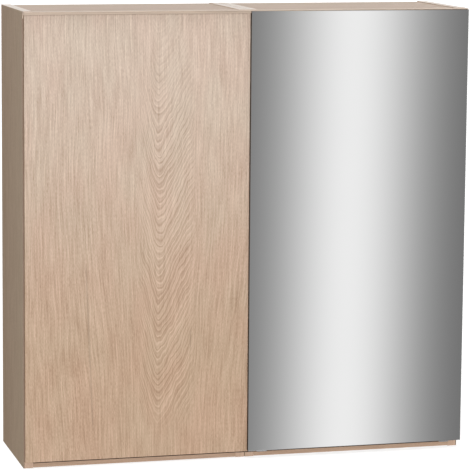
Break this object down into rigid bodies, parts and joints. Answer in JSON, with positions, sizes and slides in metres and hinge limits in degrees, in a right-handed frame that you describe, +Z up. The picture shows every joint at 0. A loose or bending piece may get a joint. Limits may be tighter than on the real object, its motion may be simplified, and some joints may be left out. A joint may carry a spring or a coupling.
{
  "type": "sliding door wardrobe",
  "caption": "Freestanding wardrobe of two modules with an oak sliding door and a full-height mirror sliding door in front of the carcass.",
  "frame": {"origin": "on the floor, at the bottom centre of the whole outline, doors included", "axes": "+Z up, +X to the right when facing the doors, +Y from the doors towards the wall behind"},
  "size_m": [2, 0.58, 1.995],
  "materials": {
    "carcass_oak": "matt oak-decor foil",
    "door_oak": "matt light oak with straight and cathedral grain",
    "dark_board": "matt dark brown foil",
    "back_board": "matt printed hardboard",
    "mirror": "silvered glass",
    "champagne_aluminium": "satin anodised",
    "bronze_aluminium": "dark bronze anodised",
    "zinc_steel": "bright zinc plated",
    "chrome": "polished chrome",
    "black_plastic": "matt moulded",
    "rubber": "matt"
  },
  "bodies": {
    "carcass": {"left_outer_side": "carcass_oak", "left_inner_side": "carcass_oak", "right_inner_side": "carcass_oak", "right_outer_side": "carcass_oak", "left_top_panel": "carcass_oak", "right_top_panel": "carcass_oak", "left_bottom_panel": "carcass_oak", "right_bottom_panel": "carcass_oak", "left_back_panel": "back_board", "right_back_panel": "back_board", "left_hat_shelf": "carcass_oak", "right_hat_shelf": "carcass_oak", "right_upper_shelf": "carcass_oak", "right_fixed_shelf": "carcass_oak", "right_lower_shelf": "carcass_oak", "lower_shelf_pin_front_left": "zinc_steel", "lower_shelf_pin_front_right": "zinc_steel", "lower_shelf_pin_rear_left": "zinc_steel", "lower_shelf_pin_rear_right": "zinc_steel", "upper_shelf_pin_front_left": "zinc_steel", "upper_shelf_pin_front_right": "zinc_steel", "upper_shelf_pin_rear_left": "zinc_steel", "upper_shelf_pin_rear_right": "zinc_steel", "clothes_rail": "chrome", "rail_socket_left": "chrome", "rail_socket_right": "chrome", "module_bolt_front_bottom": "zinc_steel", "module_bolt_rear_bottom": "zinc_steel", "module_bolt_front_top": "zinc_steel", "module_bolt_rear_top": "zinc_steel", "wall_bracket_left": "zinc_steel", "wall_bracket_right": "zinc_steel", "top_guide": "champagne_aluminium", "running_rail": "bronze_aluminium", "rail_stop_rear_left": "rubber", "rail_stop_rear_right": "rubber", "rail_stop_front_left": "rubber", "rail_stop_front_right": "rubber"},
    "oak_door": {"oak_door_panel": "door_oak", "oak_guide_shoe_left": "black_plastic", "oak_guide_shoe_right": "black_plastic", "oak_roller_bracket_left": "zinc_steel", "oak_roller_bracket_right": "zinc_steel", "oak_roller_axle_left": "zinc_steel", "oak_roller_axle_right": "zinc_steel"},
    "mirror_door": {"mirror_door_panel": "dark_board", "mirror_glass": "mirror", "mirror_guide_shoe_left": "black_plastic", "mirror_guide_shoe_right": "black_plastic", "mirror_roller_bracket_left": "zinc_steel", "mirror_roller_bracket_right": "zinc_steel", "mirror_roller_axle_left": "zinc_steel", "mirror_roller_axle_right": "zinc_steel"},
    "oak_wheel_left": {"oak_roller_wheel_left": "black_plastic"},
    "oak_wheel_right": {"oak_roller_wheel_right": "black_plastic"},
    "mirror_wheel_left": {"mirror_roller_wheel_left": "black_plastic"},
    "mirror_wheel_right": {"mirror_roller_wheel_right": "black_plastic"}
  },
  "joints": [
    {"name": "oak_door_slide", "type": "slide", "parent": "carcass", "child": "oak_door", "axis": [1, 0, 0], "range_m": [0, 0.98]},
    {"name": "mirror_door_slide", "type": "slide", "parent": "carcass", "child": "mirror_door", "axis": [1, 0, 0], "range_m": [-0.98, 0]},
    {"name": "oak_wheel_left_spin", "type": "hinge", "parent": "oak_door", "child": "oak_wheel_left", "pos_m": [-0.926, -0.211, 0.0373], "axis": [0, 1, 0], "continuous": true},
    {"name": "oak_wheel_right_spin", "type": "hinge", "parent": "oak_door", "child": "oak_wheel_right", "pos_m": [-0.062, -0.211, 0.0373], "axis": [0, 1, 0], "continuous": true},
    {"name": "mirror_wheel_left_spin", "type": "hinge", "parent": "mirror_door", "child": "mirror_wheel_left", "pos_m": [0.072, -0.2285, 0.0373], "axis": [0, 1, 0], "continuous": true},
    {"name": "mirror_wheel_right_spin", "type": "hinge", "parent": "mirror_door", "child": "mirror_wheel_right", "pos_m": [0.93, -0.2285, 0.0373], "axis": [0, 1, 0], "continuous": true}
  ],
  "couplings": [
    {"joint": "oak_wheel_left_spin", "follows": "oak_door_slide", "rad_per_m": 86.957},
    {"joint": "oak_wheel_right_spin", "follows": "oak_door_slide", "rad_per_m": 86.957},
    {"joint": "mirror_wheel_left_spin", "follows": "mirror_door_slide", "rad_per_m": 86.957},
    {"joint": "mirror_wheel_right_spin", "follows": "mirror_door_slide", "rad_per_m": 86.957}
  ]
}
